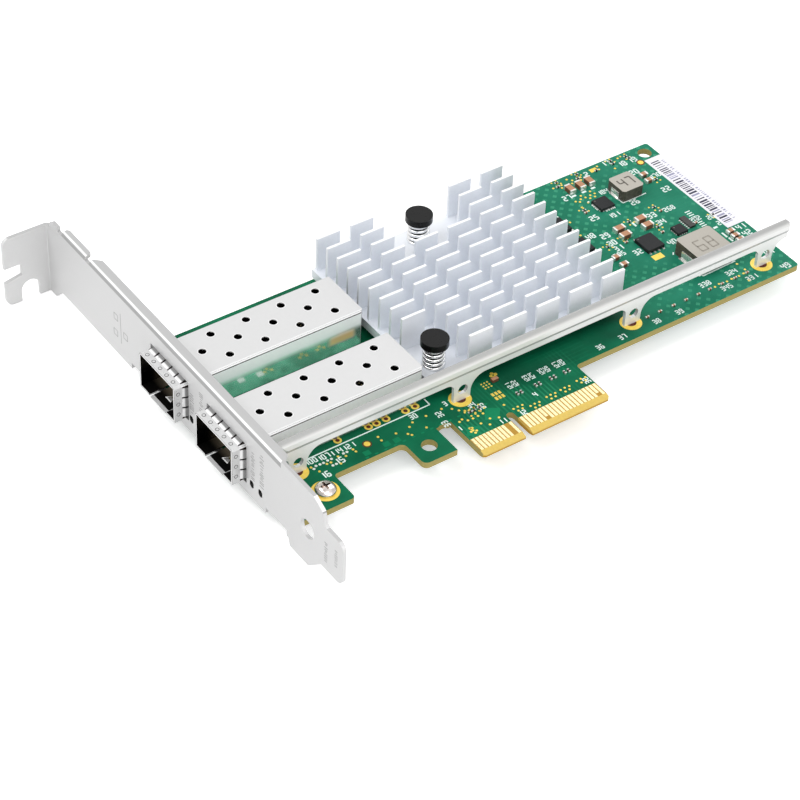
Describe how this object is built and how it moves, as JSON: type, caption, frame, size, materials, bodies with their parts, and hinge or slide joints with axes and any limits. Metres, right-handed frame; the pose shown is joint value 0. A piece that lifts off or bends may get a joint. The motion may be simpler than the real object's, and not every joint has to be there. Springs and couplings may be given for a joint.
{
  "type": "network interface card",
  "caption": "Server network card with open port cages in a full-height bracket, a finned heat sink, a stiffener rail and a gold card edge.",
  "frame": {"origin": "middle of the key notch, on the contact edge, in the plane of the component face", "axes": "+X from the bracket to the tail, +Y from the contact edge to the top edge, +Z out of the component face"},
  "size_m": [0.1586, 0.1201, 0.0221],
  "materials": {
    "board": "solder mask, satin",
    "contact_gold": "gold plate",
    "bracket_steel": "plated, satin",
    "screw_steel": "plated",
    "cage_steel": "plated, satin",
    "spring_steel": "bright plate",
    "connector_plastic": "matt",
    "sink_aluminium": "clear anodised",
    "thermal_pad": "soft",
    "chip_plastic": "moulded",
    "pin_plastic": "moulded",
    "rail_steel": "plated, satin",
    "light_resin": "clear resin",
    "coil_body": "pressed powder",
    "tin": "tinned",
    "capacitor_body": "fired",
    "resistor_body": "glazed",
    "label_paper": "matt"
  },
  "bodies": {
    "root": {"bracket": "bracket_steel", "bracket_screws": "screw_steel", "bulk_capacitor_ends": "tin", "bulk_capacitors": "capacitor_body", "chip_leads": "tin", "circuit_board": "board", "controller_chip": "chip_plastic", "coupling_capacitors": "capacitor_body", "edge_contacts": "contact_gold", "far_host_connector": "connector_plastic", "far_host_contacts": "contact_gold", "far_pin_spring": "spring_steel", "far_port_cage": "cage_steel", "far_push_pin": "pin_plastic", "far_spring_collar": "spring_steel", "heat_sink": "sink_aluminium", "label": "label_paper", "large_inductor": "coil_body", "memory_chips": "chip_plastic", "near_host_connector": "connector_plastic", "near_host_contacts": "contact_gold", "near_pin_spring": "spring_steel", "near_port_cage": "cage_steel", "near_push_pin": "pin_plastic", "near_spring_collar": "spring_steel", "power_chip": "chip_plastic", "regulator_chip": "chip_plastic", "resistor_pack": "resistor_body", "resistors": "resistor_body", "small_capacitors": "capacitor_body", "small_inductor": "coil_body", "small_regulator_chip": "chip_plastic", "status_lights": "light_resin", "stiffener_rail": "rail_steel", "thermal_pad": "thermal_pad"}
  },
  "joints": []
}
